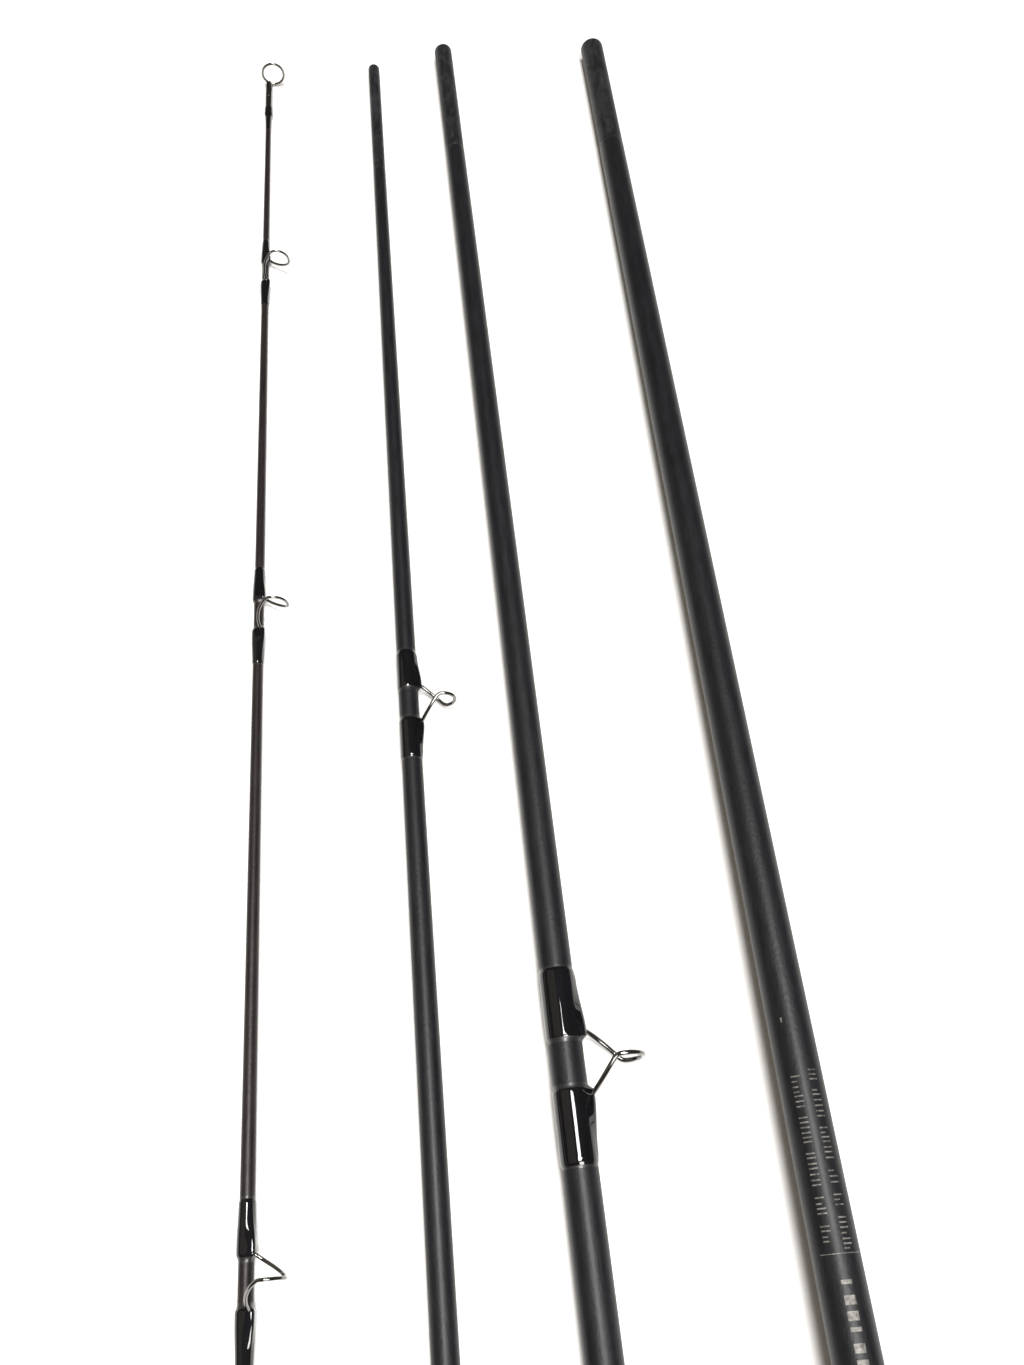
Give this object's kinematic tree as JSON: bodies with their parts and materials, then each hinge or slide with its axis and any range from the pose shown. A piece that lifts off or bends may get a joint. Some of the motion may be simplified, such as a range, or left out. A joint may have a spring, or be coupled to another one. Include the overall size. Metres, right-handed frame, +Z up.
{
  "type": "fly rod",
  "caption": "Fly rod taken apart into its sections, with snake guides, a ringed stripping guide, a cork grip and an up-locking reel seat.",
  "frame": {"origin": "middle of the four loose sections' common box, at the table's surface", "axes": "+Y along the row from the butt ends towards the tips, +X across the sections from the tip section to the butt section, +Z up from the table"},
  "size_m": [0.1246, 0.737, 0.0272],
  "materials": {
    "graphite_blank": "satin charcoal lacquer over wrapped graphite cloth",
    "wrap_thread": "black thread under clear gloss epoxy",
    "chromed_wire": "polished chrome",
    "ring_ceramic": "polished dark ceramic",
    "cork": "sanded cork, matt",
    "walnut": "oiled, satin",
    "black_anodised": "satin black anodised",
    "black_nylon": "matt",
    "black_rubber": "matt",
    "arbor_foam": "rigid foam, hidden"
  },
  "bodies": {
    "butt_section": {"butt_blank": "graphite_blank", "hook_keeper": "chromed_wire", "hook_keeper_wraps": "wrap_thread", "cork_grip_rings": "cork", "winding_check": "black_anodised", "reel_seat_insert": "walnut", "fixed_hood": "black_anodised", "threaded_barrel": "black_anodised", "seat_arbors": "arbor_foam", "butt_cap": "black_anodised"},
    "sliding_hood_body": {"sliding_hood": "black_anodised", "hood_washer": "black_nylon"},
    "lock_nut_body": {"lock_nut": "black_anodised", "nut_grip_ring": "black_rubber"},
    "lower_mid_section": {"lower_mid_blank": "graphite_blank", "lower_mid_ferrule_wrap": "wrap_thread", "lower_mid_snake_guide_1": "chromed_wire", "lower_mid_guide_wraps_1": "wrap_thread", "stripping_guide_frame": "chromed_wire", "stripping_guide_ring": "ring_ceramic", "stripping_guide_wraps": "wrap_thread"},
    "upper_mid_section": {"upper_mid_blank": "graphite_blank", "upper_mid_ferrule_wrap": "wrap_thread", "upper_mid_snake_guide_1": "chromed_wire", "upper_mid_guide_wraps_1": "wrap_thread", "upper_mid_snake_guide_2": "chromed_wire", "upper_mid_guide_wraps_2": "wrap_thread", "upper_mid_snake_guide_3": "chromed_wire", "upper_mid_guide_wraps_3": "wrap_thread"},
    "tip_section": {"tip_blank": "graphite_blank", "tip_ferrule_wrap": "wrap_thread", "tip_snake_guide_1": "chromed_wire", "tip_guide_wraps_1": "wrap_thread", "tip_snake_guide_2": "chromed_wire", "tip_guide_wraps_2": "wrap_thread", "tip_snake_guide_3": "chromed_wire", "tip_guide_wraps_3": "wrap_thread", "tip_snake_guide_4": "chromed_wire", "tip_guide_wraps_4": "wrap_thread", "tip_snake_guide_5": "chromed_wire", "tip_guide_wraps_5": "wrap_thread", "tip_top_tube": "chromed_wire", "tip_top_loop": "chromed_wire", "tip_top_wrap": "wrap_thread"}
  },
  "joints": [
    {"name": "lower_mid_slide", "type": "slide", "parent": "butt_section", "child": "lower_mid_section", "axis": [-0.0099, 1, 0], "range_m": [0, 0.66757]},
    {"name": "upper_mid_slide", "type": "slide", "parent": "lower_mid_section", "child": "upper_mid_section", "axis": [-0.0005, 1, 0], "range_m": [0, 0.6778]},
    {"name": "tip_slide", "type": "slide", "parent": "upper_mid_section", "child": "tip_section", "axis": [-0.001, 1, 0], "range_m": [0, 0.6742]},
    {"name": "hood_slide", "type": "slide", "parent": "butt_section", "child": "sliding_hood_body", "axis": [0.0115, 0.9998, -0.0153], "range_m": [0, 0.027]},
    {"name": "nut_turn", "type": "hinge", "parent": "sliding_hood_body", "child": "lock_nut_body", "pos_m": [0.0479, -0.34928, 0.01492], "axis": [0.0115, 0.9998, -0.0153], "range_deg": [0, 6481]}
  ],
  "couplings": [
    {"joint": "nut_turn", "follows": "hood_slide", "rad_per_m": 4188.8}
  ]
}
